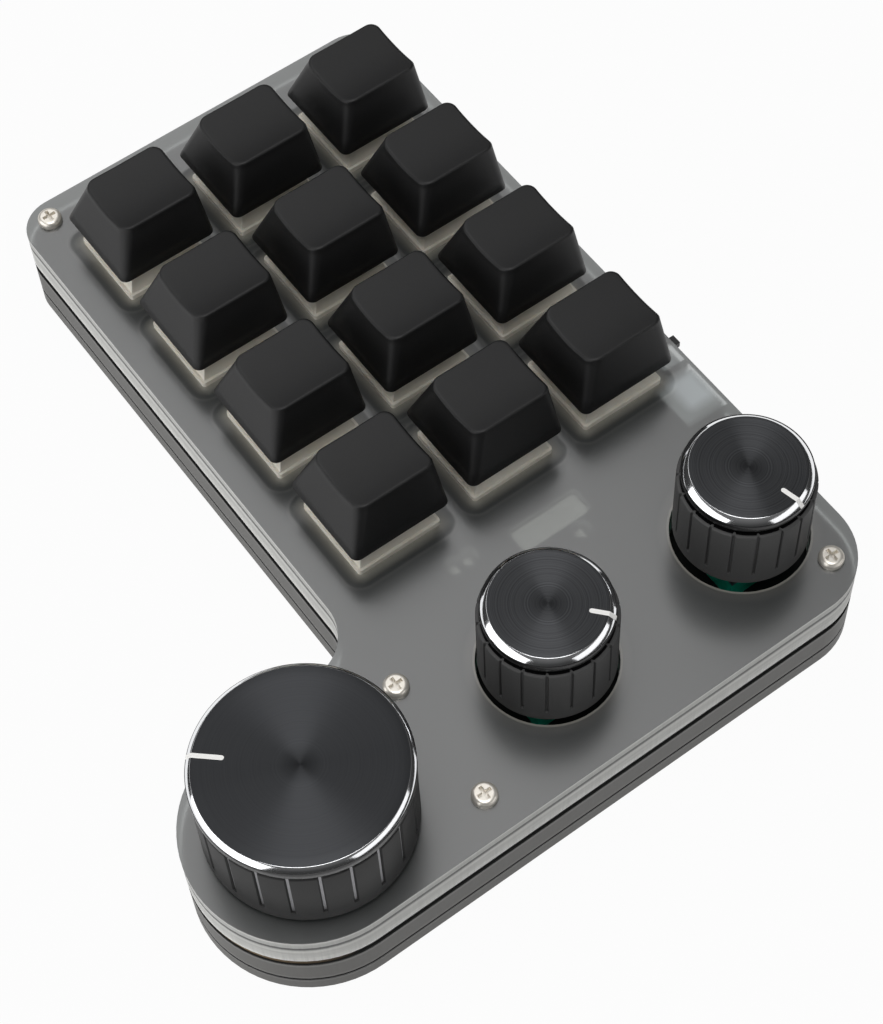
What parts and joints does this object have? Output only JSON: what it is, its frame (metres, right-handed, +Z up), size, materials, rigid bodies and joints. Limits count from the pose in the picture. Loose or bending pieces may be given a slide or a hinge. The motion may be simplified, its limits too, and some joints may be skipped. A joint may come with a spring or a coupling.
{
  "type": "macro keypad with knobs",
  "caption": "L-shaped macro keypad: mechanical keys with blank tapered caps on a layered acrylic case, and a line of push-and-turn knobs, the front one large.",
  "frame": {"origin": "on the resting plane, under the middle of the overall width and depth", "axes": "+X along the rows of keys towards the knobs, +Y from the large knob to the back edge with the cable socket, +Z up"},
  "size_m": [0.1404, 0.1182, 0.0374],
  "materials": {
    "frosted_cover": "satin frosted acrylic, smoky grey over the black board",
    "clear_acrylic": "clear acrylic with sanded, pale edges",
    "black_board": "black solder mask",
    "grey_sheet": "smoky grey acrylic sheet, satin edges",
    "black_rubber": "matt",
    "bright_steel": "nickel-plated steel",
    "milky_plastic": "milky, slightly translucent",
    "zinc_steel": "zinc-plated steel",
    "component_white": "moulded white plastic",
    "battery_foil": "satin foil pouch",
    "black_lever": "moulded black plastic",
    "dark_contact": "dark moulded plastic",
    "black_anodised": "black anodised, turned, with bright cut edges",
    "black_cap": "satin black",
    "brown_stem": "moulded brown plastic",
    "spring_steel": "spring wire"
  },
  "bodies": {
    "case": {"top_cover": "frosted_cover", "clear_spacer": "clear_acrylic", "circuit_board": "black_board", "middle_frame": "grey_sheet", "bottom_plate": "grey_sheet", "rubber_feet": "black_rubber", "case_screws": "bright_steel", "switch_bases": "milky_plastic", "switch_tops": "milky_plastic", "encoder_bodies": "zinc_steel", "board_components": "component_white", "battery": "battery_foil", "cable_socket": "bright_steel", "power_switch": "zinc_steel", "key_spring_1_1": "spring_steel", "key_spring_1_2": "spring_steel", "key_spring_1_3": "spring_steel", "key_spring_2_1": "spring_steel", "key_spring_2_2": "spring_steel", "key_spring_2_3": "spring_steel", "key_spring_3_1": "spring_steel", "key_spring_3_2": "spring_steel", "key_spring_3_3": "spring_steel", "key_spring_4_1": "spring_steel", "key_spring_4_2": "spring_steel", "key_spring_4_3": "spring_steel"},
    "key_1_1": {"keycap_1_1": "black_cap", "key_stem_1_1": "brown_stem"},
    "key_1_2": {"keycap_1_2": "black_cap", "key_stem_1_2": "brown_stem"},
    "key_1_3": {"keycap_1_3": "black_cap", "key_stem_1_3": "brown_stem"},
    "key_2_1": {"keycap_2_1": "black_cap", "key_stem_2_1": "brown_stem"},
    "key_2_2": {"keycap_2_2": "black_cap", "key_stem_2_2": "brown_stem"},
    "key_2_3": {"keycap_2_3": "black_cap", "key_stem_2_3": "brown_stem"},
    "key_3_1": {"keycap_3_1": "black_cap", "key_stem_3_1": "brown_stem"},
    "key_3_2": {"keycap_3_2": "black_cap", "key_stem_3_2": "brown_stem"},
    "key_3_3": {"keycap_3_3": "black_cap", "key_stem_3_3": "brown_stem"},
    "key_4_1": {"keycap_4_1": "black_cap", "key_stem_4_1": "brown_stem"},
    "key_4_2": {"keycap_4_2": "black_cap", "key_stem_4_2": "brown_stem"},
    "key_4_3": {"keycap_4_3": "black_cap", "key_stem_4_3": "brown_stem"},
    "rotor_large": {"encoder_rotor_large": "dark_contact"},
    "knob_large": {"knob_large": "black_anodised", "encoder_shaft_large": "zinc_steel"},
    "rotor_middle": {"encoder_rotor_middle": "dark_contact"},
    "knob_middle": {"knob_middle": "black_anodised", "encoder_shaft_middle": "zinc_steel"},
    "rotor_rear": {"encoder_rotor_rear": "dark_contact"},
    "knob_rear": {"knob_rear": "black_anodised", "encoder_shaft_rear": "zinc_steel"},
    "lever": {"power_lever": "black_lever"}
  },
  "joints": [
    {"name": "key_1_1_press", "type": "slide", "parent": "case", "child": "key_1_1", "axis": [0, 0, -1], "range_m": [0, 0.004], "stiffness_N_per_m": 90, "springref_m": -0.0045, "deforming": ["key_spring_1_1"]},
    {"name": "key_1_2_press", "type": "slide", "parent": "case", "child": "key_1_2", "axis": [0, 0, -1], "range_m": [0, 0.004], "stiffness_N_per_m": 90, "springref_m": -0.0045, "deforming": ["key_spring_1_2"]},
    {"name": "key_1_3_press", "type": "slide", "parent": "case", "child": "key_1_3", "axis": [0, 0, -1], "range_m": [0, 0.004], "stiffness_N_per_m": 90, "springref_m": -0.0045, "deforming": ["key_spring_1_3"]},
    {"name": "key_2_1_press", "type": "slide", "parent": "case", "child": "key_2_1", "axis": [0, 0, -1], "range_m": [0, 0.004], "stiffness_N_per_m": 90, "springref_m": -0.0045, "deforming": ["key_spring_2_1"]},
    {"name": "key_2_2_press", "type": "slide", "parent": "case", "child": "key_2_2", "axis": [0, 0, -1], "range_m": [0, 0.004], "stiffness_N_per_m": 90, "springref_m": -0.0045, "deforming": ["key_spring_2_2"]},
    {"name": "key_2_3_press", "type": "slide", "parent": "case", "child": "key_2_3", "axis": [0, 0, -1], "range_m": [0, 0.004], "stiffness_N_per_m": 90, "springref_m": -0.0045, "deforming": ["key_spring_2_3"]},
    {"name": "key_3_1_press", "type": "slide", "parent": "case", "child": "key_3_1", "axis": [0, 0, -1], "range_m": [0, 0.004], "stiffness_N_per_m": 90, "springref_m": -0.0045, "deforming": ["key_spring_3_1"]},
    {"name": "key_3_2_press", "type": "slide", "parent": "case", "child": "key_3_2", "axis": [0, 0, -1], "range_m": [0, 0.004], "stiffness_N_per_m": 90, "springref_m": -0.0045, "deforming": ["key_spring_3_2"]},
    {"name": "key_3_3_press", "type": "slide", "parent": "case", "child": "key_3_3", "axis": [0, 0, -1], "range_m": [0, 0.004], "stiffness_N_per_m": 90, "springref_m": -0.0045, "deforming": ["key_spring_3_3"]},
    {"name": "key_4_1_press", "type": "slide", "parent": "case", "child": "key_4_1", "axis": [0, 0, -1], "range_m": [0, 0.004], "stiffness_N_per_m": 90, "springref_m": -0.0045, "deforming": ["key_spring_4_1"]},
    {"name": "key_4_2_press", "type": "slide", "parent": "case", "child": "key_4_2", "axis": [0, 0, -1], "range_m": [0, 0.004], "stiffness_N_per_m": 90, "springref_m": -0.0045, "deforming": ["key_spring_4_2"]},
    {"name": "key_4_3_press", "type": "slide", "parent": "case", "child": "key_4_3", "axis": [0, 0, -1], "range_m": [0, 0.004], "stiffness_N_per_m": 90, "springref_m": -0.0045, "deforming": ["key_spring_4_3"]},
    {"name": "knob_large_turn", "type": "hinge", "parent": "case", "child": "rotor_large", "pos_m": [0.05155, -0.03925, 0.0189], "axis": [0, 0, 1], "continuous": true},
    {"name": "knob_large_push", "type": "slide", "parent": "rotor_large", "child": "knob_large", "axis": [0, 0, -1], "range_m": [0, 0.0005], "stiffness_N_per_m": 4000, "springref_m": -0.0005},
    {"name": "knob_middle_turn", "type": "hinge", "parent": "case", "child": "rotor_middle", "pos_m": [0.05155, 0.00415, 0.0189], "axis": [0, 0, 1], "continuous": true},
    {"name": "knob_middle_push", "type": "slide", "parent": "rotor_middle", "child": "knob_middle", "axis": [0, 0, -1], "range_m": [0, 0.0005], "stiffness_N_per_m": 4000, "springref_m": -0.0005},
    {"name": "knob_rear_turn", "type": "hinge", "parent": "case", "child": "rotor_rear", "pos_m": [0.05155, 0.04165, 0.0189], "axis": [0, 0, 1], "continuous": true},
    {"name": "knob_rear_push", "type": "slide", "parent": "rotor_rear", "child": "knob_rear", "axis": [0, 0, -1], "range_m": [0, 0.0005], "stiffness_N_per_m": 4000, "springref_m": -0.0005},
    {"name": "power_lever_slide", "type": "slide", "parent": "case", "child": "lever", "axis": [1, 0, 0], "range_m": [0, 0.002]}
  ]
}
